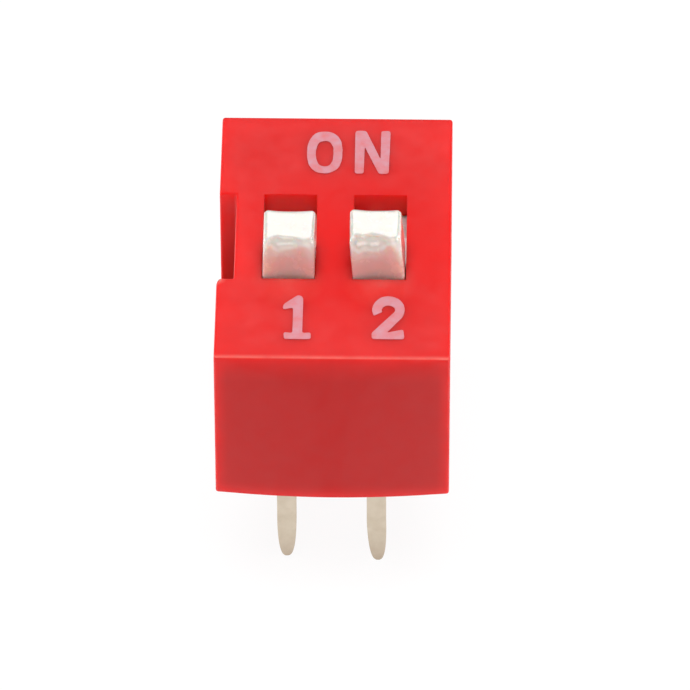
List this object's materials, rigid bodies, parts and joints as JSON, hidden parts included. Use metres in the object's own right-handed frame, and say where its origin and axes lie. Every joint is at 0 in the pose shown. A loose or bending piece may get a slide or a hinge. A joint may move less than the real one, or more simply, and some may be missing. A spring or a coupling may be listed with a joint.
{
  "type": "dip switch",
  "caption": "Through-hole slide DIP switch: red moulded cover with white slide knobs, pale ON and position print, an end notch and tapered flat legs.",
  "frame": {"origin": "middle of the leg footprint, on the plane of the standoffs that seats on the board", "axes": "+X from position 1 to position 2, +Y from the OFF end to the ON end of the slots, +Z out of the board through the knobs"},
  "size_m": [0.0066, 0.0102, 0.0103],
  "materials": {
    "cover_plastic": "satin moulded red thermoplastic",
    "base_plastic": "moulded red thermoplastic",
    "slide_plastic": "glossy moulded white nylon",
    "tinned_brass": "stamped strip, tin plated legs, gold flashed pads",
    "gold_plated_bronze": "thin gold plate on spring strip",
    "sealing_resin": "poured resin with a slight sheen",
    "print_ink": "thin pale pad print on the red cover"
  },
  "bodies": {
    "housing": {"cover": "cover_plastic", "base": "base_plastic", "terminal_1_front": "tinned_brass", "terminal_1_rear": "tinned_brass", "terminal_2_front": "tinned_brass", "terminal_2_rear": "tinned_brass", "seal_front": "sealing_resin", "seal_rear": "sealing_resin", "legend_on": "print_ink", "legend_1": "print_ink", "legend_2": "print_ink"},
    "actuator_1": {"slide_1": "slide_plastic", "contact_1": "gold_plated_bronze"},
    "actuator_2": {"slide_2": "slide_plastic", "contact_2": "gold_plated_bronze"}
  },
  "joints": [
    {"name": "switch_1", "type": "slide", "parent": "housing", "child": "actuator_1", "axis": [0, 1, 0], "range_m": [0, 0.00194]},
    {"name": "switch_2", "type": "slide", "parent": "housing", "child": "actuator_2", "axis": [0, 1, 0], "range_m": [0, 0.00194]}
  ]
}
